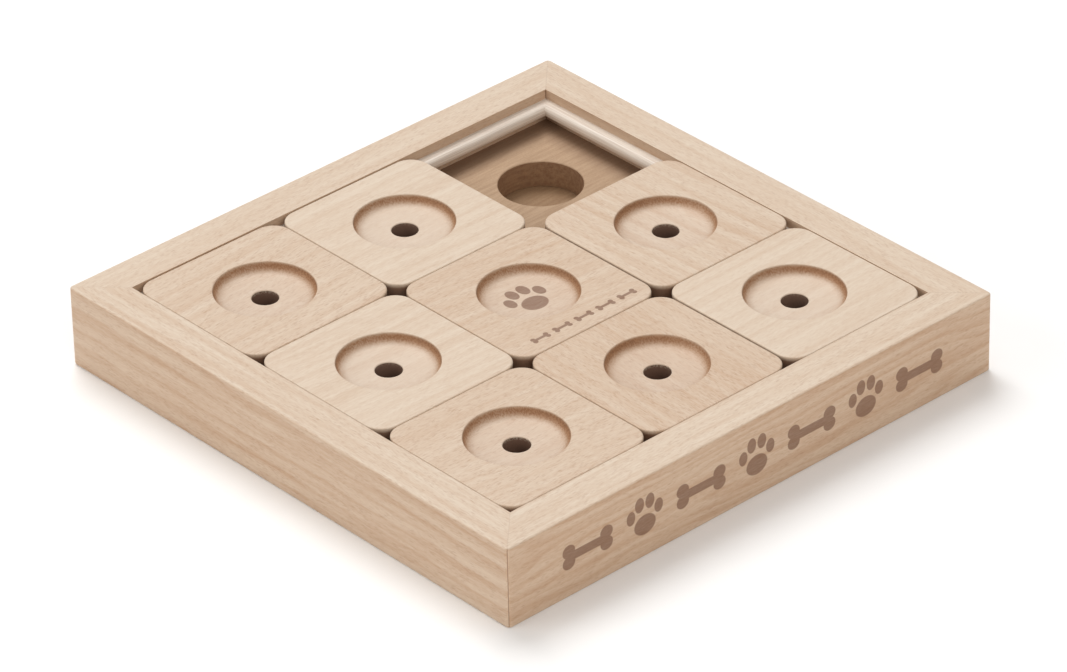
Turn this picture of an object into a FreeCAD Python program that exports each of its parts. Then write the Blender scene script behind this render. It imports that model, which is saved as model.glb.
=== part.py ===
import FreeCAD, Part
import math
import os

# A sliding-tile treat puzzle for a dog: a beech tray of three by three wells, eight tiles and one open cell.
# Millimetres. The puzzle stands on z = 0 with its footprint centred on the origin.
# Front is -Y, left is -X. The open cell is in the back right corner.

V = FreeCAD.Vector
UP = V(0, 0, 1)

# The field of tiles
cells = 3                     # tiles along a side of the full field
tile_side = 79.8
tile_thickness = 15.0
tile_corner_radius = 9.5      # corners seen from above
tile_edge_chamfer = 0.5       # eased top edges
tight_seam = 0.3              # seam where a tile is pushed against its neighbour
field_play = 1.8              # all the seams of one row added up
tile_lift = 0.3               # tiles run this far above the board

# Nose recess and scent hole in each tile
recess_diameter = 45.0
recess_depth = 4.5
recess_wall_run = 2.2         # the dished wall comes in this far on its way down
scent_hole_diameter = 12.0

# Strips that hold the tiles down: rounded nose outside, square edge glued in a slot
strip_thickness = 5.6         # guide strips of the tray
tongue_thickness = 5.0        # the tiles' own strips are thinner and run freely
strip_projection = 5.9
strip_inset = 6.0
groove_face_clearance = 0.3   # above and below a strip that slides in a groove
groove_depth_clearance = 0.4  # beyond the nose

# Tray
rail_width = 19.4
frame_corner_radius = 2.0
rail_edge_chamfer = 0.8        # eased outer edges, top and bottom
rail_inner_chamfer = 0.4
panel_rise = 5.6              # the bottom panel hangs this far above the table
panel_thickness = 5.0
panel_tongue = 6.0            # edge of the bottom panel inside the rails
panel_end_gap = 0.5           # room for the panel to swell
board_thickness = 13.1
board_fit = 0.1
well_diameter = 38.5

# Modelling aids
overshoot = 1.0               # cutters run this far past what they cut
tolerance = 1e-6              # lengths below this count as nothing

# Worked out from the sizes above
opening = cells * tile_side + field_play
half_opening = opening / 2
half_frame = half_opening + rail_width
board_bottom = panel_rise + panel_thickness
board_top = board_bottom + board_thickness
tile_bottom = board_top + tile_lift
frame_height = tile_bottom + tile_thickness
strip_middle = tile_bottom + tile_thickness / 2
wide_seam = field_play - cells * tight_seam
groove_height = strip_thickness + 2 * groove_face_clearance
groove_depth = strip_projection + groove_depth_clearance
tongue_length = tile_side - 2 * tile_corner_radius

column_names = ("left", "middle", "right")
row_names = ("front", "middle", "back")
open_cell = (cells - 1, cells - 1)
centre_cell = (1, 1)
# Seams before each tile and after the last: columns leave their play before the last tile, rows behind it
column_seams = (tight_seam, tight_seam, wide_seam, tight_seam)
row_seams = (tight_seam, tight_seam, tight_seam, wide_seam)


def box(x, y, z):
    """A box between two limits on each axis."""
    return Part.makeBox(x[1] - x[0], y[1] - y[0], z[1] - z[0], V(x[0], y[0], z[0]))


def prism(points, z):
    """A straight prism over a plan outline."""
    corners = [V(px, py, z[0]) for px, py in points]
    face = Part.Face(Part.makePolygon(corners + corners[:1]))
    return face.extrude(V(0, 0, z[1] - z[0]))


def edges_at_height(shape, z):
    """Edges that lie flat at one height."""
    return [e for e in shape.Edges if all(abs(v.Z - z) < tolerance for v in e.Vertexes)
            and abs(e.CenterOfMass.z - z) < tolerance]


def upright_edges(shape, radius_from_axis):
    """Upright edges at least this far from the vertical axis."""
    found = []
    for e in shape.Edges:
        middle = e.CenterOfMass
        upright = max(e.BoundBox.XLength, e.BoundBox.YLength) < tolerance
        if upright and math.hypot(middle.x, middle.y) > radius_from_axis:
            found.append(e)
    return found


def seats(seams):
    """Middle of each cell along one axis, from the seams before the tiles."""
    places = []
    at = -half_opening
    for seam in seams[:cells]:
        at += seam
        places.append(at + tile_side / 2)
        at += tile_side
    return places


def strip_bar(start, end, thickness):
    """A strip along X whose shoulder is at y = 0: its nose points to -Y and its glued edge to +Y."""
    nose_radius = thickness / 2
    low, high = strip_middle - nose_radius, strip_middle + nose_radius
    flat = -(strip_projection - nose_radius)
    nose = Part.Arc(V(start, flat, low), V(start, -strip_projection, strip_middle), V(start, flat, high))
    outline = Part.Wire([
        Part.makeLine(V(start, strip_inset, low), V(start, flat, low)),
        nose.toShape(),
        Part.makeLine(V(start, flat, high), V(start, strip_inset, high)),
        Part.makeLine(V(start, strip_inset, high), V(start, strip_inset, low)),
    ])
    return Part.Face(outline).extrude(V(end - start, 0, 0))


def back_strip():
    """Guide strip of the back rail: mitred at the open corner, butted on the left rail's wall."""
    outer = half_opening + strip_inset
    inner = half_opening - strip_projection
    bar = strip_bar(-outer, outer, strip_thickness).translated(V(0, half_opening, 0))
    plan = prism([(-half_opening, inner), (-half_opening, half_opening), (-outer, outer),
                  (outer, outer), (inner, inner)], (0, frame_height))
    return bar.common(plan).removeSplitter()


def right_strip():
    """Guide strip of the right rail: the back strip mirrored across the mitre of the open corner."""
    return back_strip().mirror(V(0, 0, 0), V(1, -1, 0))


def frame_ring():
    """The tray's frame before it is cut into rails, with eased edges and the groove for the bottom panel."""
    outside = box((-half_frame, half_frame), (-half_frame, half_frame), (0, frame_height))
    outside = outside.makeFillet(frame_corner_radius, upright_edges(outside, half_frame))
    outside = outside.makeChamfer(rail_edge_chamfer, edges_at_height(outside, frame_height)
                                  + edges_at_height(outside, 0))
    hollow = box((-half_opening, half_opening), (-half_opening, half_opening),
                 (-overshoot, frame_height + overshoot))
    ring = outside.cut(hollow)
    rim = [e for e in edges_at_height(ring, frame_height) + edges_at_height(ring, 0)
           if max(abs(e.CenterOfMass.x), abs(e.CenterOfMass.y)) < half_opening + tolerance]
    ring = ring.makeChamfer(rail_inner_chamfer, rim)
    reach = half_opening + panel_tongue
    dado = box((-reach, reach), (-reach, reach), (panel_rise, board_bottom))
    return ring.cut(dado)


def rail(ring, quarter_turns):
    """One mitred rail. No turn is the front rail, and each quarter turn goes on anticlockwise."""
    reach = half_frame + overshoot
    wedge = prism([(0, 0), (-reach, -reach), (reach, -reach)],
                  (-overshoot, frame_height + overshoot))
    wedge.rotate(V(0, 0, 0), UP, 90 * quarter_turns)
    return ring.common(wedge)


def rail_groove(quarter_turns):
    """The open groove in which the tiles' tongues run, full length of one rail."""
    reach = half_opening + groove_depth
    low = strip_middle - groove_height / 2
    tool = box((-reach, reach), (-reach, -half_opening + overshoot), (low, low + groove_height))
    tool.rotate(V(0, 0, 0), UP, 90 * quarter_turns)
    return tool


def make_rails():
    """Grooves in the front and left rails, slots for the guide strips in the other two."""
    ring = frame_ring()
    return {
        "front_rail": rail(ring, 0).cut(rail_groove(0)),
        "right_rail": rail(ring, 1).cut(right_strip()),
        "back_rail": rail(ring, 2).cut(back_strip()),
        "left_rail": rail(ring, 3).cut(rail_groove(3)),
    }


def make_bottom_panel():
    """Thin panel held in the rails' groove. It is the floor of the wells."""
    reach = half_opening + panel_tongue - panel_end_gap
    return box((-reach, reach), (-reach, reach), (panel_rise, board_bottom))


def make_well_board():
    """Board bored right through with a well in the middle of each cell."""
    reach = half_opening - board_fit
    board = box((-reach, reach), (-reach, reach), (board_bottom, board_top))
    pitch = opening / cells
    for column in range(cells):
        for row in range(cells):
            middle = V((column - (cells - 1) / 2) * pitch, (row - (cells - 1) / 2) * pitch, board_bottom)
            board = board.cut(Part.makeCylinder(well_diameter / 2, board_thickness, middle))
    return board


def recess_tool(has_scent_hole):
    """Cutter for a dished recess, and the hole below it."""
    radius = recess_diameter / 2
    top = tile_thickness
    floor = top - recess_depth
    dish = Part.makeCone(radius - recess_wall_run, radius, recess_depth, V(0, 0, floor))
    tool = dish.fuse(Part.makeCylinder(radius, overshoot, V(0, 0, top)))
    if has_scent_hole:
        through = tile_thickness + overshoot
        tool = tool.fuse(Part.makeCylinder(scent_hole_diameter / 2, through, V(0, 0, -overshoot)))
    return tool


def tile_block(has_scent_hole):
    """A tile on z = 0 in the middle of the plan, before its strips are slotted in."""
    half = tile_side / 2
    block = box((-half, half), (-half, half), (0, tile_thickness))
    block = block.makeFillet(tile_corner_radius, upright_edges(block, half))
    block = block.makeChamfer(tile_edge_chamfer, edges_at_height(block, tile_thickness))
    low = (tile_thickness - groove_height) / 2
    height = (low, low + groove_height)
    past = half + overshoot
    right_groove = box((half - groove_depth, past), (-past, past), height)
    back_groove = box((-past, past), (half - groove_depth, past), height)
    return block.cut(right_groove).cut(back_groove).cut(recess_tool(has_scent_hole))


def tile_with_tongues(middle_x, middle_y, has_scent_hole):
    """One tile in its place, and the tongues glued into slots in its front and left sides."""
    half = tile_side / 2
    front = strip_bar(-tongue_length / 2, tongue_length / 2, tongue_thickness)
    left = front.copy()
    left.rotate(V(0, 0, 0), UP, -90)
    front.translate(V(middle_x, middle_y - half, 0))
    left.translate(V(middle_x - half, middle_y, 0))
    block = tile_block(has_scent_hole)
    block.translate(V(middle_x, middle_y, tile_bottom))
    return block.cut(front).cut(left), front, left


def tile_name(column, row):
    if (column, row) == centre_cell:
        return "centre_tile"
    return row_names[row] + "_" + column_names[column] + "_tile"


def make_tiles():
    """Eight tiles, each with two tongues. The middle one has no scent hole."""
    pieces = {}
    across = seats(column_seams)
    along = seats(row_seams)
    for column in range(cells):
        for row in range(cells):
            if (column, row) == open_cell:
                continue
            name = tile_name(column, row)
            block, front, left = tile_with_tongues(across[column], along[row], (column, row) != centre_cell)
            pieces[name] = block
            pieces[name + "_front_tongue"] = front
            pieces[name + "_left_tongue"] = left
    return pieces


def main():
    pieces = make_rails()
    pieces["bottom_panel"] = make_bottom_panel()
    pieces["well_board"] = make_well_board()
    pieces["back_guide_strip"] = back_strip()
    pieces["right_guide_strip"] = right_strip()
    pieces.update(make_tiles())
    os.makedirs("parts", exist_ok=True)
    for name, shape in pieces.items():
        solids = shape.Solids
        if len(solids) != 1 or not shape.isValid():
            print("check", name, len(solids), shape.isValid())
        solids[0].exportStep(os.path.join("parts", name + ".step"))
        print(name, "volume", round(solids[0].Volume, 1))


main()
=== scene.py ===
import math

import bmesh
import bpy
from mathutils import Matrix, Vector


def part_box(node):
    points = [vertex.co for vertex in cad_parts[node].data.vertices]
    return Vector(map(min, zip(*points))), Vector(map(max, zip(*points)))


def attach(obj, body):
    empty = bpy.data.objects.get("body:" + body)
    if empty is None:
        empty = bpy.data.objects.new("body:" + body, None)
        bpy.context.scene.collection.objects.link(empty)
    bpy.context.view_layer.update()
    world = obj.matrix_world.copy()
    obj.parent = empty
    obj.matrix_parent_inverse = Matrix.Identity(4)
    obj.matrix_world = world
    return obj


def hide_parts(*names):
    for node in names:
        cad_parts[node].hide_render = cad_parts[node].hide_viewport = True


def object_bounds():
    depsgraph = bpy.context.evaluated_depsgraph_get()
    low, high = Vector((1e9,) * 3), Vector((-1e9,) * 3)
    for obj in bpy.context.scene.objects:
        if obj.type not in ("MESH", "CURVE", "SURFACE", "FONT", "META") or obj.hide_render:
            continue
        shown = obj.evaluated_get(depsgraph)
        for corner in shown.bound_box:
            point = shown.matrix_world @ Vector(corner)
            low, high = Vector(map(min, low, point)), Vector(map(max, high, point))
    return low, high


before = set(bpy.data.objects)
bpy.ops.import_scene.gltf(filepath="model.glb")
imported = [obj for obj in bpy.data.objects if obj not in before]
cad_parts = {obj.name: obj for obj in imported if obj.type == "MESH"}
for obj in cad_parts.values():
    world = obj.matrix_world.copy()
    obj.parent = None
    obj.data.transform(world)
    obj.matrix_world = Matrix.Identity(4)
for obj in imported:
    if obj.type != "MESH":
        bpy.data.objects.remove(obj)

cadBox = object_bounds()
mm = 0.001
touching = 1e-6                         # metres: closer than this counts as the same place
hairline = 1e-7                         # metres: how close mesh tools look when they cut and join
overshoot = 5 * mm                      # cutters run this far past what they cut
print("frame loaded:", len(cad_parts), "nodes")


# Shader maths as plain expressions

class Wire:
    def __init__(self, finish, socket):
        self.finish = finish
        self.socket = socket

    def maths(self, operation, *others, clamp=False):
        sockets = dict(enumerate((self,) + others))
        return self.finish.node("ShaderNodeMath", {"operation": operation, "use_clamp": clamp}, sockets)

    def swapped(self, operation, other):
        return self.finish.node("ShaderNodeMath", {"operation": operation}, {0: other, 1: self})

    def __add__(self, other):
        return self.maths("ADD", other)

    def __radd__(self, other):
        return self.swapped("ADD", other)

    def __sub__(self, other):
        return self.maths("SUBTRACT", other)

    def __rsub__(self, other):
        return self.swapped("SUBTRACT", other)

    def __mul__(self, other):
        return self.maths("MULTIPLY", other)

    def __rmul__(self, other):
        return self.swapped("MULTIPLY", other)

    def __truediv__(self, other):
        return self.maths("DIVIDE", other)

    def __rtruediv__(self, other):
        return self.swapped("DIVIDE", other)

    def __abs__(self):
        return self.maths("ABSOLUTE")

    def root(self):
        return self.maths("SQRT")

    def fraction(self):
        return self.maths("FRACT")

    def floor(self):
        return self.maths("FLOOR")

    def clamped(self):
        return self.maths("ADD", 0.0, clamp=True)

    def most(self, other):
        return self.maths("MAXIMUM", other)

    # 0 below the first value, 1 above the second, smooth between
    def ramp(self, low, high):
        settings = {"interpolation_type": "SMOOTHSTEP"}
        return self.finish.node("ShaderNodeMapRange", settings,
                                {"Value": self, "From Min": low, "From Max": high})


class Finish:
    def __init__(self, name):
        self.material = bpy.data.materials.new(name)
        self.material.use_nodes = True
        self.tree = self.material.node_tree
        self.shader = self.tree.nodes["Principled BSDF"]

    def node(self, kind, settings, sockets, out=0):
        made = self.tree.nodes.new(kind)
        for name, value in settings.items():
            setattr(made, name, value)
        for name, value in sockets.items():
            self.feed(made.inputs[name], value)
        return Wire(self, made.outputs[out])

    def feed(self, socket, value):
        if isinstance(value, Wire):
            self.tree.links.new(value.socket, socket)
        else:
            socket.default_value = value

    def set(self, name, value):
        self.feed(self.shader.inputs[name], value)

    def place(self, middle=(0, 0, 0), turn=(0, 0, 0), shift=(0, 0, 0)):
        # millimetres from a middle point, turned, then shifted to a fresh stretch of the pattern
        where = self.node("ShaderNodeTexCoord", {}, {}, "Object")
        centred = self.node("ShaderNodeMapping", {"vector_type": "POINT"},
                            {"Vector": where, "Location": [-part / mm for part in middle],
                             "Scale": (1 / mm, 1 / mm, 1 / mm)})
        return self.node("ShaderNodeMapping", {"vector_type": "POINT"},
                         {"Vector": centred, "Rotation": turn, "Location": shift})

    def split(self, vector):
        return [self.node("ShaderNodeSeparateXYZ", {}, {0: vector}, axis) for axis in range(3)]

    # a pattern's pitch is its cells per millimetre, along the grain and across it
    def stretch(self, vector, pitch):
        along, across = pitch
        return self.node("ShaderNodeVectorMath", {"operation": "MULTIPLY"},
                         {0: vector, 1: (along, across, across)})

    def noise(self, vector, pitch, detail=2.0, roughness=0.5):
        return self.node("ShaderNodeTexNoise", {},
                         {"Vector": self.stretch(vector, pitch), "Scale": 1.0, "Detail": detail,
                          "Roughness": roughness})

    def cells(self, vector, pitch):
        return self.node("ShaderNodeTexVoronoi", {},
                         {"Vector": self.stretch(vector, pitch), "Scale": 1.0}, "Distance")

    def mix(self, factor, first, second, blend="MIX"):
        # the colour inputs of this node are numbers 6 and 7, its colour output number 2
        return self.node("ShaderNodeMix", {"data_type": "RGBA", "blend_type": blend},
                         {0: factor, 6: first, 7: second}, 2)

    def facing(self):
        return self.node("ShaderNodeNewGeometry", {}, {}, "Normal")

    # 1 on upright surfaces, 0 on level ones
    def upright(self, low=0.3, high=0.9):
        return 1 - abs(self.split(self.facing())[2]).ramp(low, high)

    def bump(self, height, strength, distance):
        return self.node("ShaderNodeBump", {}, {"Height": height, "Strength": strength,
                                                "Distance": distance})


daylight = 1.24                         # the lamps light a level white card this much past white


def linear(value):
    value = value / 255
    if value <= 0.04045:
        return value / 12.92
    return ((value + 0.055) / 1.055) ** 2.4


def colour(red, green, blue):
    # the colour that a level surface shows on screen, out of 255, as the linear one that a shader takes
    return (linear(red) / daylight, linear(green) / daylight, linear(blue) / daylight, 1.0)


# Beech

beech = {
    "pale": colour(238, 220, 199),
    "dark": colour(210, 174, 142),
    "fleck": colour(176, 130, 96),
    # colour of the painted shade in the recess of a tile, with its darker end grain
    "wall": colour(176, 130, 92),
    # colour of the painted shade in the gaps between tiles
    "side": colour(122, 80, 55),
    "warm": (0.935, 0.845, 0.77, 1.0),  # painted shade: multiplies the colour of upright faces, darker and warmer
    "burn": colour(132, 92, 68),
    "torn": colour(240, 226, 205),
    "driftPitch": (0.006, 0.035),       # slow bends of the growth rings
    "wanderPitch": (0.03, 0.16),        # small ripples of the growth rings
    "wander": 4.0,                      # millimetres
    "fibrePitch": (0.22, 2.4),
    "streakPitch": (0.012, 0.30),
    "fleckPitch": (0.30, 2.8),
    "fleckCore": (0.14, 0.50),
    "patchPitch": (0.15, 0.6),          # where the flecks crowd together
    "patchEdge": (0.30, 0.62),
    "lateWood": (0.2, 0.85),            # each ring darkens slowly and ends at once
    "ringEnd": (0.86, 1.0),
    "roughness": 0.44,
    "fibreRoughness": 0.16,
    "specular": 0.35,
    "fibreRelief": 0.6,
    "ringRelief": 0.25,
    "fleckRelief": 0.5,
    "bump": 0.35,
    "bumpHeight": 0.12 * mm,
}

# What a board has unless its own look says otherwise: ring wave and width in millimetres
plainBoard = {"wave": 14.0, "ringWidth": 6.5, "sideRings": 0.0, "streaks": 0.7, "paintedUprightShade": 0.0}


def boardLook(look, number, shift):
    # each board comes from its own stretch of the plank
    along, across, up = (number * step for step in shift)
    pithAcross, pithUp = look["pith"]
    own = {"shift": (along, across, up), "pith": (pithAcross + across, pithUp + up)}
    return {**plainBoard, **look, **own}


def beechBoard(finish, look, middle=(0, 0, 0)):
    # grain along the turned X, growth rings round a pith that lies beside the board
    place = finish.place(middle, (0, 0, look["grain"]), look["shift"])
    drift = finish.noise(place, beech["driftPitch"])
    wander = finish.noise(place, beech["wanderPitch"])
    across, height = finish.split(place)[1:]
    pithAcross, pithHeight = look["pith"]
    offAcross = across - pithAcross
    offHeight = height - pithHeight
    fromPith = (offAcross * offAcross + offHeight * offHeight).root()
    rippled = fromPith + drift * look["wave"] + wander * beech["wander"]
    ring = (rippled / look["ringWidth"]).fraction()
    lateWood = ring.ramp(*beech["lateWood"]) * (1 - ring.ramp(*beech["ringEnd"]))
    fibre = finish.noise(place, beech["fibrePitch"], detail=3.0, roughness=0.65)
    streak = finish.noise(place, beech["streakPitch"], detail=3.0)
    patch = finish.noise(place, beech["patchPitch"], detail=1.0)
    flecks = finish.cells(place, beech["fleckPitch"])
    fleck = (1 - flecks.ramp(*beech["fleckCore"])) * patch.ramp(*beech["patchEdge"])
    sideways = finish.upright()
    rings = lateWood * (look["rings"] + sideways * look["sideRings"])
    shade = (look["depth"] + rings + (fibre - 0.5) + (streak - 0.5) * look["streaks"]).clamped()
    base = finish.mix(shade, beech["pale"], beech["dark"])
    base = finish.mix(fleck * look["flecks"], base, beech["fleck"])
    # painted shade on upright faces, darker and warmer than level ones
    tint = finish.mix(sideways * look["paintedUprightShade"], base, beech["warm"], "MULTIPLY")
    relief = fibre * beech["fibreRelief"] + lateWood * beech["ringRelief"] - fleck * beech["fleckRelief"]
    return tint, relief, fibre


def finishBeech(finish, tint, relief, fibre):
    finish.set("Base Color", tint)
    finish.set("Roughness", beech["roughness"] + fibre * beech["fibreRoughness"])
    finish.set("Normal", finish.bump(relief, beech["bump"], beech["bumpHeight"]))
    finish.set("Specular IOR Level", beech["specular"])


# Camera and light

camera = {
    "azimuth": math.radians(-41.7886),
    "height": math.radians(32.3226),
    "roll": math.radians(-1.3248),
    "aside": 1.26 * mm,
    "up": 13.188 * mm,
    "distance": 2821.868 * mm,
    "focalPixels": 6545.39,
    "imageWidth": 1067,
    "sensor": 36.0,
}


def makeCamera():
    azimuth = camera["azimuth"]
    height = camera["height"]
    back = Vector((math.sin(azimuth) * math.cos(height), -math.cos(azimuth) * math.cos(height),
                   math.sin(height)))
    right = Vector((0, 0, 1)).cross(back).normalized()
    up = back.cross(right)
    turned = Matrix((right, up, back)).transposed() @ Matrix.Rotation(camera["roll"], 3, "Z")
    seen = bpy.data.objects.new("camera", bpy.data.cameras.new("camera"))
    bpy.context.scene.collection.objects.link(seen)
    seen.data.sensor_width = camera["sensor"]
    seen.data.lens = camera["focalPixels"] / camera["imageWidth"] * camera["sensor"]
    where = turned @ Vector((camera["aside"], camera["up"], camera["distance"]))
    seen.matrix_world = Matrix.Translation(where) @ turned.to_4x4()
    bpy.context.scene.camera = seen
    print("camera placed")


# Square lamps that point at the origin: place and size in metres, power in watts
lamps = {
    "key": {"from": (0.9, 2.0, 3.8), "size": 2.4, "power": 120, "tint": (1.0, 1.0, 1.0)},
    "side": {"from": (-3.2, 1.5, 1.8), "size": 2.8, "power": 45, "tint": (1.0, 0.96, 0.91)},
    "front": {"from": (-0.9, -3.0, 2.0), "size": 2.6, "power": 43, "tint": (1.0, 0.93, 0.85)},
    "top": {"from": (-0.4, -0.6, 4.8), "size": 4.0, "power": 20, "tint": (1.0, 1.0, 1.0)},
}

studio = {
    "sky": (1, 1, 1, 1),
    "skyStrength": 0.34,
    "floorReach": 6,                    # metres from the middle
    "floorPale": (0.97, 0.97, 0.97, 1.0),
    "floorDark": (0.94, 0.94, 0.94, 1.0),
    "floorPitch": (0.05, 0.05),
    "floorRoughness": 0.9,
}


def makeLights():
    for name, light in lamps.items():
        lamp = bpy.data.objects.new(name, bpy.data.lights.new(name, "AREA"))
        bpy.context.scene.collection.objects.link(lamp)
        lamp.data.size = light["size"]
        lamp.data.energy = light["power"]
        lamp.data.color = light["tint"]
        where = Vector(light["from"])
        turned = where.to_track_quat("Z", "Y").to_matrix().to_4x4()
        lamp.matrix_world = Matrix.Translation(where) @ turned
    world = bpy.data.worlds.new("studio")
    world.use_nodes = True
    sky = world.node_tree.nodes["Background"]
    sky.inputs["Color"].default_value = studio["sky"]
    sky.inputs["Strength"].default_value = studio["skyStrength"]
    bpy.context.scene.world = world
    bpy.context.scene.view_settings.view_transform = "Standard"
    print("lamps lit:", len(lamps))


def makeFloor():
    bm = bmesh.new()
    bmesh.ops.create_grid(bm, x_segments=1, y_segments=1, size=studio["floorReach"])
    finish = Finish("floorPaper")
    grain = finish.noise(finish.place(), studio["floorPitch"])
    finish.set("Base Color", finish.mix(grain, studio["floorPale"], studio["floorDark"]))
    finish.set("Roughness", studio["floorRoughness"])
    floor = pieceFrom(bm, "floor", finish)
    print("floor laid")


# Mesh helpers

sharpAngle = 35                         # degrees: edges steeper than this stay crisp


def pieceFrom(bm, name, *finishes):
    mesh = bpy.data.meshes.new(name)
    bm.to_mesh(mesh)
    bm.free()
    for finish in finishes:
        mesh.materials.append(finish.material)
    piece = bpy.data.objects.new(name, mesh)
    bpy.context.scene.collection.objects.link(piece)
    return piece


def softShade(piece):
    piece.data.shade_smooth()
    piece.data.set_sharp_from_angle(angle=math.radians(sharpAngle))
    weight = piece.modifiers.new("evenNormals", "WEIGHTED_NORMAL")
    weight.keep_sharp = True


def cutAway(piece, cutters):
    # takes each cutter out of the piece, then clears them away
    for cutter in cutters:
        cut = piece.modifiers.new("cut", "BOOLEAN")
        cut.operation = "DIFFERENCE"
        cut.solver = "EXACT"
        cut.object = cutter
    bpy.context.view_layer.update()
    done = bpy.data.meshes.new_from_object(piece.evaluated_get(bpy.context.evaluated_depsgraph_get()))
    piece.modifiers.clear()
    piece.data = done
    for cutter in cutters:
        bpy.data.objects.remove(cutter)


def block(bm, low, high):
    made = bmesh.ops.create_cube(bm, size=1)["verts"]
    size = [above - below for below, above in zip(low, high)]
    middle = [(above + below) / 2 for below, above in zip(low, high)]
    bmesh.ops.scale(bm, vec=size, verts=made)
    bmesh.ops.translate(bm, vec=middle, verts=made)


def cutterBlock(low, high, quarterTurns=0):
    bm = bmesh.new()
    block(bm, low, high)
    turnQuarter(bm, quarterTurns)
    return pieceFrom(bm, "cutter")


def turnQuarter(bm, turns):
    bmesh.ops.rotate(bm, cent=(0, 0, 0), matrix=Matrix.Rotation(math.radians(90 * turns), 3, "Z"),
                     verts=bm.verts)


def roundedSlab(bm, side, height, radius, arcSteps, straightCuts=0):
    # a square slab with round corners, its long edges cut so that they can meet a circle
    bmesh.ops.create_grid(bm, x_segments=1, y_segments=1, size=side / 2)
    bmesh.ops.bevel(bm, geom=bm.verts[:], offset=radius, offset_type="OFFSET", affect="VERTICES",
                    segments=arcSteps, profile=0.5, material=-1)
    if straightCuts:
        straights = [edge for edge in bm.edges if edge.calc_length() > side / 2]
        bmesh.ops.subdivide_edges(bm, edges=straights, cuts=straightCuts)
    raised = bmesh.ops.extrude_face_region(bm, geom=bm.faces[:])["geom"]
    topVerts = [part for part in raised if isinstance(part, bmesh.types.BMVert)]
    bmesh.ops.translate(bm, vec=(0, 0, height), verts=topVerts)


def edgesAt(edges, z):
    # those that lie level at one height
    return [edge for edge in edges if all(abs(vert.co.z - z) < touching for vert in edge.verts)]


def easeEdges(bm, edges, width, steps):
    bmesh.ops.bevel(bm, geom=edges, offset=width, offset_type="OFFSET", affect="EDGES",
                    segments=steps, profile=0.5, material=-1)


def cutOff(bm, point, normal):
    # keeps what lies behind the plane and closes the cut
    parts = bm.verts[:] + bm.edges[:] + bm.faces[:]
    cut = bmesh.ops.bisect_plane(bm, geom=parts, dist=hairline, plane_co=point, plane_no=normal,
                                 clear_outer=True)
    rim = [part for part in cut["geom_cut"] if isinstance(part, bmesh.types.BMEdge)]
    bmesh.ops.holes_fill(bm, edges=rim)


def spinSection(bm, section, steps, centre=(0, 0, 0)):
    # turns a half section, given as radius and height, once round an upright axis. Returns the edges
    # that were there before, so that the new ones can be told from them
    middle = Vector(centre)
    verts = [bm.verts.new(middle + Vector((radius, 0, z))) for radius, z in section]
    edges = [bm.edges.new(pair) for pair in zip(verts, verts[1:])]
    before = set(bm.edges) - set(edges)
    bmesh.ops.spin(bm, geom=verts + edges, cent=centre, axis=(0, 0, 1), angle=math.tau, steps=steps,
                   use_merge=True)
    return before


def arcPoints(centre, wide, high, start, end, steps):
    # points of an oval from one angle to another, in degrees
    points = []
    for step in range(steps + 1):
        angle = math.radians(start + (end - start) * step / steps)
        points.append((centre[0] + wide * math.cos(angle), centre[1] + high * math.sin(angle)))
    return points


def fillFlat(bm, rims):
    # closes the level ring between an outline and a circle inside it
    bmesh.ops.triangle_fill(bm, use_beauty=True, use_dissolve=False, edges=rims, normal=(0, 0, 1))


# Sizes read from the frame

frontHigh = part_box("front_rail")[1]
boardLow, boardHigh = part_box("well_board")
stripLow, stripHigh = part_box("back_guide_strip")
panelLow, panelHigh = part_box("bottom_panel")
halfFrame = cadBox[1][0]
frameTop = frontHigh.z
wall = frontHigh.y                      # negative: the inner wall of the front rail
tileBoxes = {name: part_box(name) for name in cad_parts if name.endswith("_tile")}

groove = {
    "depth": 6.3 * mm,
    "clearance": 0.3 * mm,              # above and below the strip that runs in it
}
grooveLow = stripLow.z - groove["clearance"]
grooveHigh = stripHigh.z + groove["clearance"]


# Burnt marks: a plain paw print and a plain bone, drawn by distance from a few ovals.
# Each oval is its middle and its half width and height, in millimetres at size 1

pawPrint = {
    "pad": (0.0, -3.0, 5.0, 4.0),
    "outerToe": (6.4, 2.0, 2.0, 2.8),
    "innerToe": (2.4, 5.6, 2.1, 3.0),
}

bonePrint = {
    "knob": (8.6, 2.2, 2.9, 2.7),
    "shaftEnd": (8.4, 8.6),             # soft edges of the shaft, along and across
    "shaftSide": (1.7, 1.9),
}

burning = {
    "edge": (0.94, 1.04),               # soft edge of an oval, in shares of its radius
    "strength": 0.62,
    "fibre": 0.3,
    "sink": 1.2,
}


def oval(x, y, shape, size):
    middleX, middleY, wide, high = (part * size for part in shape)
    offX = (x - middleX) / wide
    offY = (y - middleY) / high
    return 1 - (offX * offX + offY * offY).root().ramp(*burning["edge"])


def paw(x, y, size):
    aside = abs(x)
    toes = oval(aside, y, pawPrint["outerToe"], size).most(oval(aside, y, pawPrint["innerToe"], size))
    return oval(x, y, pawPrint["pad"], size).most(toes)


def bone(x, y, size):
    aside = abs(x)
    above = abs(y)
    shaftEnd = [part * size for part in bonePrint["shaftEnd"]]
    shaftSide = [part * size for part in bonePrint["shaftSide"]]
    shaft = (1 - aside.ramp(*shaftEnd)) * (1 - above.ramp(*shaftSide))
    return oval(aside, above, bonePrint["knob"], size).most(shaft)


def rowCell(x, row):
    # number of the mark that x falls on, x from its middle, and 1 as far as the row reaches
    cell = (x / row["spacing"] + 0.5).floor()
    inRow = 1 - abs(cell).ramp(row["reach"] + 0.3, row["reach"] + 0.6)
    return cell, x - cell * row["spacing"], inRow


def burn(finish, tint, relief, fibre, mark):
    scorched = mark * (burning["strength"] + fibre * burning["fibre"])
    return finish.mix(scorched, tint, beech["burn"]), relief - mark * burning["sink"]


# Tiles

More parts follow.
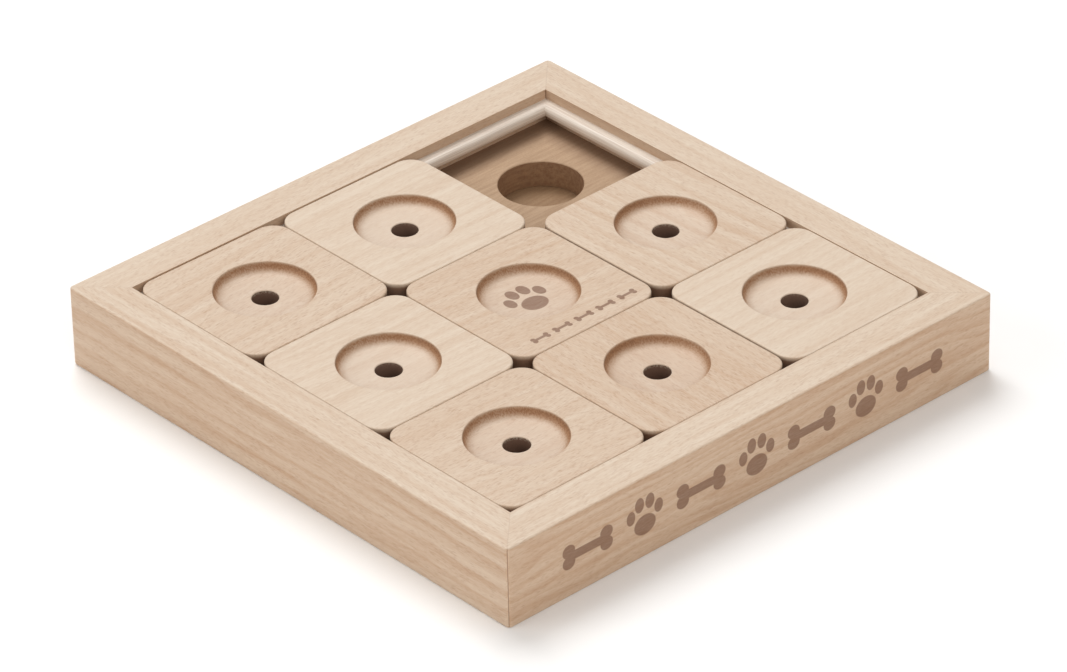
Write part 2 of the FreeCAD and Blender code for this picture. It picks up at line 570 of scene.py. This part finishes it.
tile = {
    "corner": 9.5 * mm,
    "topEase": 0.7 * mm,
    "topSteps": 3,
    "bottomEase": 0.35 * mm,
    "bottomSteps": 2,
    "recess": 22.5 * mm,                # radius at the rim
    "recessDepth": 4.5 * mm,
    "rimEase": 0.45 * mm,
    "rimSteps": 2,
    "coveWide": 5.0 * mm,
    "coveHigh": 4.0 * mm,
    "coveSteps": 9,
    "hole": 6.0 * mm,
    "holeEase": 0.3 * mm,
    "arcSteps": 9,
    "straightCuts": 8,
    "plankShift": (137.0, 61.0, 29.0),
}

# Grain direction, tint and place on the plank for each tile, read off the photograph
tileLooks = {
    "front_left_tile": {"grain": 0.06, "depth": 0.36, "rings": 0.10, "flecks": 0.55,
                        "pith": (40, -70)},
    "middle_left_tile": {"grain": 0.03, "depth": 0.16, "rings": 0.14, "flecks": 0.22,
                         "pith": (-30, -50)},
    "back_left_tile": {"grain": -0.05, "depth": 0.34, "rings": 0.10, "flecks": 0.55,
                       "pith": (90, -60)},
    "front_middle_tile": {"grain": 1.60, "depth": 0.50, "rings": 0.10, "flecks": 0.55,
                          "pith": (60, -90)},
    "centre_tile": {"grain": 0.10, "depth": 0.42, "rings": 0.10, "flecks": 0.50,
                    "pith": (-60, -80)},
    "back_middle_tile": {"grain": 0.02, "depth": 0.14, "rings": 0.12, "flecks": 0.22,
                         "pith": (20, -60)},
    "front_right_tile": {"grain": -0.03, "depth": 0.14, "rings": 0.12, "flecks": 0.20,
                         "pith": (-80, -60)},
    "middle_right_tile": {"grain": 1.52, "depth": 0.30, "rings": 0.22, "flecks": 0.45,
                          "pith": (50, -40)},
}

# How a tile's parts darken, by painted shade in the recess, the scent hole and the gaps between tiles,
# and by real marks: pairs are soft edges in millimetres, out from the axis or down from the top
tileShadeAndMarks = {
    "recessOut": (22.2, 22.8),
    "recessDown": (0.9, 0.2),
    "recessFloor": colour(233, 211, 193),
    "recessTint": 0.25,
    "dishOut": (16.5, 21.0),
    "dishTint": (0.14, 0.14, 0.10),     # painted shade everywhere, more on end grain, more on nicks
    "wallDown": (4.6, 2.4),
    "wallTint": (0.62, 0.38, 0.45),
    "tickTint": (0.15, 0.45),           # everywhere, more on end grain
    "nickPitch": (2.2, 1.1),
    "nickEdge": (0.44, 0.60),
    "holeOut": (5.95, 6.2),
    "holeDown": (5.2, 4.7),
    # painted shade inside the scent hole
    "holeWall": colour(100, 58, 40),
    "holeTint": 0.9,
    "tornInner": (5.7, 5.9),
    "tornOuter": (6.2, 6.7),
    "tornUpper": (4.0, 3.6),
    "tornLower": (6.5, 5.5),
    # painted shade on the tile sides, in the gaps between tiles
    "sideOut": (30.0, 31.0),
    "sideDown": (2.5, 0.6),
    "sideSteep": (0.5, 0.8),
    "sideTint": 0.82,
}

# Marks on the centre tile, millimetres from its middle
centreMarks = {
    "pawSize": 1.3,
    "boneSize": 0.42,
    "spacing": 12.5,
    "reach": 2,                         # bones to each side of the middle one
    "aside": 3.0,
    "forward": 31.5,
    "topDown": (0.4, 0.2),
}


def tileMiddle(name):
    # the tongues stand out of the front and left sides, in nodes of their own
    low, high = tileBoxes[name]
    return ((low.x + high.x) / 2, (low.y + high.y) / 2, low.z)


def tileFinish(name, number):
    low, high = tileBoxes[name]
    look = boardLook(tileLooks[name], number, tile["plankShift"])
    middle = tileMiddle(name)
    finish = Finish(name + "Beech")
    tint, relief, fibre = beechBoard(finish, look, middle)
    place = finish.place(middle)
    x, y, z = finish.split(place)
    fromAxis = (x * x + y * y).root()
    top = (high.z - low.z) / mm

    def out(key):
        return fromAxis.ramp(*tileShadeAndMarks[key])

    def down(key):
        return z.ramp(*(top - depth for depth in tileShadeAndMarks[key]))

    facingX, facingY = finish.split(finish.facing())[:2]
    endGrain = abs(facingX * math.cos(look["grain"]) - facingY * math.sin(look["grain"]))
    nickNoise = finish.noise(place, tileShadeAndMarks["nickPitch"], detail=3.0, roughness=0.75)
    nicks = nickNoise.ramp(*tileShadeAndMarks["nickEdge"])

    def paintedShadeAndGrain(key):
        plain, onEnds, onNicks = tileShadeAndMarks[key]
        return plain + endGrain * onEnds + nicks * onNicks

    inRecess = (1 - out("recessOut")) * (1 - down("recessDown"))
    onWall = inRecess * down("wallDown")
    tint = finish.mix(inRecess * tileShadeAndMarks["recessTint"], tint, tileShadeAndMarks["recessFloor"])
    # painted shade over the dish of the recess, deeper on end grain and nicks
    tint = finish.mix(inRecess * out("dishOut") * paintedShadeAndGrain("dishTint"), tint, beech["wall"])
    # painted shade down the recess wall, deeper on end grain and nicks
    tint = finish.mix((onWall * paintedShadeAndGrain("wallTint")).clamped(), tint, beech["wall"])
    tickPlain, tickEnds = tileShadeAndMarks["tickTint"]
    tint = finish.mix(onWall * nicks * (tickPlain + endGrain * tickEnds), tint, beech["burn"])
    # painted shade down the wall of the scent hole
    inHole = (1 - out("holeOut")) * (1 - down("holeDown"))
    tint = finish.mix(inHole * tileShadeAndMarks["holeTint"], tint, tileShadeAndMarks["holeWall"])
    tornRing = out("tornInner") * (1 - out("tornOuter")) * nicks
    torn = tornRing * (1 - down("tornUpper")) * down("tornLower")
    tint = finish.mix(torn * look["flecks"], tint, beech["torn"])
    # painted shade down the tile sides, in the gaps between tiles
    onSide = finish.upright(*tileShadeAndMarks["sideSteep"]) * out("sideOut") * (1 - down("sideDown"))
    tint = finish.mix(onSide * tileShadeAndMarks["sideTint"], tint, beech["side"])
    if name == "centre_tile":
        onTop = z.ramp(*(top - depth for depth in centreMarks["topDown"]))
        along, inRow = rowCell(x - centreMarks["aside"], centreMarks)[1:]
        bones = bone(along, y + centreMarks["forward"], centreMarks["boneSize"]) * inRow * onTop
        burnt = paw(x, y, centreMarks["pawSize"]).most(bones)
        tint, relief = burn(finish, tint, relief, fibre, burnt)
    finishBeech(finish, tint, relief, fibre)
    return finish


def spinRecess(bm, height, holed):
    # half section of the recess from its rim to the axis, or down the scent hole, turned once round
    rim = tile["rimEase"]
    floor = height - tile["recessDepth"]
    wide = tile["coveWide"]
    high = tile["coveHigh"]
    radius = tile["recess"]
    section = [(radius + rim, height)]
    section += arcPoints((radius + rim, height - rim), rim, rim, 120, 180, tile["rimSteps"])
    section += arcPoints((radius - wide, floor + high), wide, high, 0, -90, tile["coveSteps"])
    if holed:
        hole = tile["hole"]
        ease = tile["holeEase"]
        section += [(hole + ease, floor), (hole, floor - ease), (hole, ease), (hole + ease, 0.0)]
    else:
        section += [(0.0, floor)]
    # as many steps as the tile's outline has corners
    steps = 4 * (tile["arcSteps"] + 1 + tile["straightCuts"])
    before = spinSection(bm, section, steps)
    nearAxis = [vert for vert in bm.verts if vert.co.xy.length < radius + 2 * rim]
    bmesh.ops.remove_doubles(bm, verts=nearAxis, dist=hairline)
    return [edge for edge in bm.edges if edge.is_valid and edge not in before]


def makeTile(name, number, holed):
    low, high = tileBoxes[name]
    height = high.z - low.z
    bm = bmesh.new()
    roundedSlab(bm, high.x - low.x, height, tile["corner"], tile["arcSteps"], tile["straightCuts"])
    easeEdges(bm, edgesAt(bm.edges, height), tile["topEase"], tile["topSteps"])
    easeEdges(bm, edgesAt(bm.edges, 0.0), tile["bottomEase"], tile["bottomSteps"])
    # only the top and the bottom have this many corners
    flats = [face for face in bm.faces if len(face.verts) > 8]
    tops = [face for face in flats if face.calc_center_median().z > height / 2]
    bottoms = [face for face in flats if face not in tops]
    topRim = [edge for face in tops for edge in face.edges]
    bottomRim = [edge for face in bottoms for edge in face.edges]
    bmesh.ops.delete(bm, geom=flats if holed else tops, context="FACES_ONLY")
    spun = spinRecess(bm, height, holed)
    fillFlat(bm, topRim + edgesAt(spun, height))
    if holed:
        fillFlat(bm, bottomRim + edgesAt(spun, 0.0))
    bmesh.ops.recalc_face_normals(bm, faces=bm.faces)
    bmesh.ops.translate(bm, vec=tileMiddle(name), verts=bm.verts)
    piece = pieceFrom(bm, name + "Beech", tileFinish(name, number))
    inX = high.x - groove["depth"]
    inY = high.y - groove["depth"]
    pastCorner = (high.x + overshoot, high.y + overshoot, grooveHigh)
    cutAway(piece, [
        cutterBlock((inX, low.y - overshoot, grooveLow), pastCorner),
        cutterBlock((low.x - overshoot, inY, grooveLow), pastCorner),
    ])
    softShade(piece)
    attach(piece, name)
    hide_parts(name)


def makeTiles():
    for number, name in enumerate(sorted(tileLooks)):
        makeTile(name, number, name != "centre_tile")
    print("tiles made:", len(tileLooks))


# Rails

rail = {
    "corner": 2.0 * mm,
    "cornerSteps": 5,
    "outerEase": 1.0 * mm,
    "outerSteps": 4,
    "innerEase": 0.5 * mm,
    "innerSteps": 3,
    "stripInset": 6.0 * mm,
    "panelInset": 6.0 * mm,
    "plankShift": (211.0, 47.0, 19.0),
    "mitre": colour(140, 98, 72),
    "mitreEdge": (0.05, 0.38),          # millimetres to each side of the joint
    "mitreTint": 0.14,
    "mitreUpright": 0.66,
}

# Quarter turns from the front, and the plank that each rail is cut from
railLooks = {
    "front_rail": {"turns": 0, "grain": 0.0, "depth": 0.22, "rings": 0.05, "sideRings": 0.24,
                   "wave": 46.0, "ringWidth": 5.0, "pith": (-170, 60), "flecks": 0.4,
                   "streaks": 1.1, "paintedUprightShade": 1.0},
    "right_rail": {"turns": 1, "grain": math.pi / 2, "depth": 0.24, "rings": 0.12,
                   "pith": (-100, -260), "flecks": 0.4, "paintedUprightShade": 1.0},
    "back_rail": {"turns": 2, "grain": 0.0, "depth": 0.24, "rings": 0.12,
                  "pith": (160, -200), "flecks": 0.4, "paintedUprightShade": 1.0},
    "left_rail": {"turns": 3, "grain": math.pi / 2, "depth": 0.24, "rings": 0.12, "sideRings": 0.2,
                  "pith": (110, -240), "flecks": 0.42, "streaks": 1.1, "paintedUprightShade": 0.7},
}
groovedRails = ("front_rail", "left_rail")      # the other two hold the guide strips

# Burnt row on the front rail's outer face, paws and bones in turn, millimetres
frontMarks = {
    "spacing": 32.0,
    "reach": 3,                         # marks to each side of the middle one
    "height": 19.5,
    "size": 1.22,
    "faceEdge": (0.6, 0.4),             # in from the outer face
}


def railFinish(name, number):
    finish = Finish(name + "Beech")
    look = boardLook(railLooks[name], number, rail["plankShift"])
    tint, relief, fibre = beechBoard(finish, look)
    x, y, z = finish.split(finish.place())
    mitre = 1 - abs(abs(x) - abs(y)).ramp(*rail["mitreEdge"])
    strength = rail["mitreTint"] + finish.upright() * rail["mitreUpright"]
    tint = finish.mix(mitre * strength, tint, rail["mitre"])
    if name == "front_rail":
        cell, along, inRow = rowCell(x, frontMarks)
        up = z - frontMarks["height"]
        size = frontMarks["size"]
        odd = (cell * 0.5).fraction().ramp(0.2, 0.3)    # 1 on every second mark, which is a bone
        mark = paw(along, up, size) * (1 - odd) + bone(along, up, size) * odd
        outside = (y * -1).ramp(*(halfFrame / mm - inset for inset in frontMarks["faceEdge"]))
        tint, relief = burn(finish, tint, relief, fibre, mark * outside * inRow)
    finishBeech(finish, tint, relief, fibre)
    return finish


def makeRail(name, number):
    # made as the front rail, then turned into place
    turns = railLooks[name]["turns"]
    bm = bmesh.new()
    roundedSlab(bm, 2 * halfFrame, frameTop, rail["corner"], rail["cornerSteps"])
    bmesh.ops.recalc_face_normals(bm, faces=bm.faces)
    easeEdges(bm, edgesAt(bm.edges, frameTop) + edgesAt(bm.edges, 0.0), rail["outerEase"],
              rail["outerSteps"])
    cutOff(bm, (0, wall, 0), (0, 1, 0))
    innerRims = [edge for edge in edgesAt(bm.edges, frameTop) + edgesAt(bm.edges, 0.0)
                 if all(abs(vert.co.y - wall) < touching for vert in edge.verts)]
    easeEdges(bm, innerRims, rail["innerEase"], rail["innerSteps"])
    cutOff(bm, (0, 0, 0), (1, 1, 0))
    cutOff(bm, (0, 0, 0), (-1, 1, 0))
    bmesh.ops.recalc_face_normals(bm, faces=bm.faces)
    turnQuarter(bm, turns)
    piece = pieceFrom(bm, name + "Beech", railFinish(name, number))
    if name in groovedRails:
        depth, low, high = groove["depth"], grooveLow, grooveHigh
    else:
        depth, low, high = rail["stripInset"], stripLow.z, stripHigh.z
    panelDepth = rail["panelInset"]
    cutters = []
    for inset, bottom, top in ((depth, low, high), (panelDepth, panelLow.z, panelHigh.z)):
        reach = inset - wall
        nearCorner = (-reach, wall - inset, bottom)
        farCorner = (reach, wall + overshoot, top)
        cutters.append(cutterBlock(nearCorner, farCorner, turns))
    cutAway(piece, cutters)
    softShade(piece)
    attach(piece, "tray")
    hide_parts(name)


def makeRails():
    for number, name in enumerate(railLooks):
        makeRail(name, number)
    print("rails made:", len(railLooks))


# Strips: a rounded nose, a square glued edge

strip = {
    "noseSteps": 8,
    "noseRadius": 2.45 * mm,
    "pale": colour(252, 241, 228),
    "dark": colour(222, 204, 187),
    "finePitch": (0.03, 2.2),
    "fineEdge": (0.35, 0.70),
    "broadPitch": (0.01, 0.5),
    "fineShade": 0.85,
    "broadShade": 0.3,
    "roughness": 0.38,
    "fineRoughness": 0.16,
    "bump": 0.25,
    "bumpHeight": 0.1 * mm,
}

# Quarter turns, and how far across the plank each strip is cut
guideStrips = {
    "back_guide_strip": {"turns": 0, "across": 0.0},
    "right_guide_strip": {"turns": 1, "across": 40.0},
}
tongues = {
    "front": {"turns": 0, "across": 90.0},
    "left": {"turns": 1, "across": 130.0},
}


def stripFinish(name, look):
    finish = Finish(name)
    place = finish.place((0, 0, 0), (0, 0, look["turns"] * math.pi / 2), (0, look["across"], 0))
    fine = finish.noise(place, strip["finePitch"], detail=3.0, roughness=0.6)
    broad = finish.noise(place, strip["broadPitch"], detail=1.0)
    shade = fine.ramp(*strip["fineEdge"]) * strip["fineShade"] + broad * strip["broadShade"]
    finish.set("Base Color", finish.mix(shade.clamped(), strip["pale"], strip["dark"]))
    finish.set("Roughness", strip["roughness"] + fine * strip["fineRoughness"])
    finish.set("Normal", finish.bump(fine, strip["bump"], strip["bumpHeight"]))
    return finish


def stripBar(bm, low, high):
    # bar along X with its nose to -Y
    block(bm, low, high)
    noseEdges = [edge for edge in bm.edges
                 if all(abs(vert.co.y - low[1]) < touching for vert in edge.verts)
                 and abs(edge.verts[0].co.x - edge.verts[1].co.x) > touching]
    easeEdges(bm, noseEdges, strip["noseRadius"], strip["noseSteps"])


def makeGuideStrips():
    for name, look in guideStrips.items():
        bm = bmesh.new()
        stripBar(bm, stripLow, stripHigh)
        cutOff(bm, (0, 0, 0), (1, -1, 0))
        if look["turns"]:
            # mirrored across the mitre of the open corner
            bmesh.ops.transform(bm, matrix=Matrix(((0, 1, 0), (1, 0, 0), (0, 0, 1))), verts=bm.verts)
        bmesh.ops.recalc_face_normals(bm, faces=bm.faces)
        piece = pieceFrom(bm, name + "Wood", stripFinish(name + "Wood", look))
        softShade(piece)
        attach(piece, "tray")
        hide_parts(name)
    print("guide strips made:", len(guideStrips))


def makeTongues():
    finishes = {side: stripFinish(side + "TongueWood", look) for side, look in tongues.items()}
    for owner in sorted(tileBoxes):
        for side, finish in finishes.items():
            node = owner + "_" + side + "_tongue"
            low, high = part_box(node)
            bm = bmesh.new()
            if side == "front":
                stripBar(bm, low, high)
            else:
                # laid a quarter turn further on, then turned back to face the left
                stripBar(bm, (-high.y, low.x, low.z), (-low.y, high.x, high.z))
                turnQuarter(bm, -1)
            bmesh.ops.recalc_face_normals(bm, faces=bm.faces)
            piece = pieceFrom(bm, node + "Wood", finish)
            softShade(piece)
            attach(piece, owner)
            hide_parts(node)
    print("tongues made:", len(tileBoxes) * len(tongues))


# Board with the wells, and the panel below it

board = {
    "well": 19.25 * mm,                 # radius
    "rimEase": 0.35 * mm,
    "cells": 3,
    "wellSteps": 72,
    "pale": colour(210, 178, 146),
    "dark": colour(178, 144, 112),
    "speck": colour(128, 96, 72),
    "boredPale": colour(186, 150, 114),
    "boredDark": colour(142, 102, 74),
    "panelPale": colour(180, 146, 110),
    "panelDark": colour(152, 117, 84),
    "shadow": colour(104, 68, 46),      # towards the walls, below the strips
    "shadowEdge": (17.0, 4.0),          # millimetres from the wall
    "shadowTint": 0.55,
    "roughness": 0.69,
    "boredRoughness": 0.74,
    "mottleRoughness": 0.12,
    "mottlePitch": (1.1, 1.1),
    "cloudPitch": (0.05, 0.05),
    "chipPitch": (1.6, 1.6),
    "chipCore": (0.06, 0.24),
    "chipTint": 0.2,
    "streakPitch": (0.05, 0.55),
    "patternEdge": (0.3, 0.7),
    "mottleShade": 0.25,
    "streakShade": 0.5,
    "cloudShade": 0.25,
    "bump": 0.3,
    "bumpHeight": 0.12 * mm,
}


def fibreFinish(name, pale, dark, speck, roughness, shadowTint=0.0):
    finish = Finish(name)
    place = finish.place()
    mottle = finish.noise(place, board["mottlePitch"], detail=4.0, roughness=0.65)
    cloud = finish.noise(place, board["cloudPitch"])
    chips = finish.cells(place, board["chipPitch"])
    streak = finish.noise(place, board["streakPitch"], detail=4.0, roughness=0.6)
    shade = (mottle.ramp(*board["patternEdge"]) * board["mottleShade"]
             + streak.ramp(*board["patternEdge"]) * board["streakShade"]
             + cloud * board["cloudShade"]).clamped()
    tint = finish.mix(shade, pale, dark)
    tint = finish.mix((1 - chips.ramp(*board["chipCore"])) * board["chipTint"], tint, speck)
    x, y = finish.split(place)[:2]
    nearWall = x.most(y).ramp(*(-wall / mm - inset for inset in board["shadowEdge"]))
    tint = finish.mix(nearWall * shadowTint, tint, board["shadow"])
    finish.set("Base Color", tint)
    finish.set("Roughness", roughness + mottle * board["mottleRoughness"])
    finish.set("Normal", finish.bump(mottle, board["bump"], board["bumpHeight"]))
    return finish


def boreCell(bm, column, row, pitch, wellPitch, thickness):
    # open top and bottom faces of one cell round a bored well. The cells are joined at their edges
    made = bmesh.ops.create_grid(bm, x_segments=1, y_segments=1, size=pitch / 2)["verts"]
    plate = made[0].link_faces[0]
    rims = list(plate.edges)
    bmesh.ops.delete(bm, geom=[plate], context="FACES_ONLY")
    # each side of the cell gets a quarter of the well's steps
    cut = bmesh.ops.subdivide_edges(bm, edges=rims, cuts=board["wellSteps"] // 4 - 1)
    lower = [part for part in cut["geom"] if isinstance(part, bmesh.types.BMEdge)]
    lower += [edge for edge in rims if edge.is_valid and edge not in lower]
    copied = bmesh.ops.duplicate(bm, geom=lower)["geom"]
    upper = [part for part in copied if isinstance(part, bmesh.types.BMEdge)]
    upperVerts = [part for part in copied if isinstance(part, bmesh.types.BMVert)]
    bmesh.ops.translate(bm, vec=(0, 0, thickness), verts=upperVerts)
    outlineVerts = list({vert for edge in lower + upper for vert in edge.verts})
    bmesh.ops.translate(bm, vec=(column * pitch, row * pitch, 0), verts=outlineVerts)
    ease = board["rimEase"]
    radius = board["well"]
    section = [(radius + ease, thickness), (radius, thickness - ease), (radius, ease),
               (radius + ease, 0.0)]
    before = spinSection(bm, section, board["wellSteps"], (column * wellPitch, row * wellPitch, 0))
    spun = [edge for edge in bm.edges if edge not in before]
    bmesh.ops.bridge_loops(bm, edges=upper + edgesAt(spun, thickness))
    bmesh.ops.bridge_loops(bm, edges=lower + edgesAt(spun, 0.0))


def makeBoard():
    cells = board["cells"]
    half = boardHigh.x
    pitch = 2 * half / cells
    wellPitch = -2 * wall / cells
    thickness = boardHigh.z - boardLow.z
    face = fibreFinish("boardFibre", board["pale"], board["dark"], board["speck"], board["roughness"],
                       board["shadowTint"])
    bored = fibreFinish("boredFibre", board["boredPale"], board["boredDark"], board["boredDark"],
                        board["boredRoughness"])
    bm = bmesh.new()
    fromMiddle = [number - (cells - 1) / 2 for number in range(cells)]
    for column in fromMiddle:
        for row in fromMiddle:
            boreCell(bm, column, row, pitch, wellPitch, thickness)
    bmesh.ops.remove_doubles(bm, verts=bm.verts, dist=touching)
    bmesh.ops.bridge_loops(bm, edges=[edge for edge in bm.edges if edge.is_boundary])
    bmesh.ops.recalc_face_normals(bm, faces=bm.faces)
    for side in bm.faces:
        centre = side.calc_center_median()
        steep = abs(side.normal.z) < 0.5
        inside = max(abs(centre.x), abs(centre.y)) < half - touching
        side.material_index = 1 if steep and inside else 0
    bmesh.ops.translate(bm, vec=(0, 0, boardLow.z), verts=bm.verts)
    piece = pieceFrom(bm, "wellBoardFibre", face, bored)
    softShade(piece)
    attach(piece, "tray")
    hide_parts("well_board")
    print("board bored:", cells * cells, "wells")


def dressPanel():
    finish = fibreFinish("panelFibre", board["panelPale"], board["panelDark"], board["speck"],
                         board["roughness"])
    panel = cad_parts["bottom_panel"]
    panel.data.materials.clear()
    panel.data.materials.append(finish.material)
    print("bottom panel dressed")


makeCamera()
makeLights()
makeFloor()
makeTiles()
makeRails()
makeGuideStrips()
makeTongues()
makeBoard()
dressPanel()
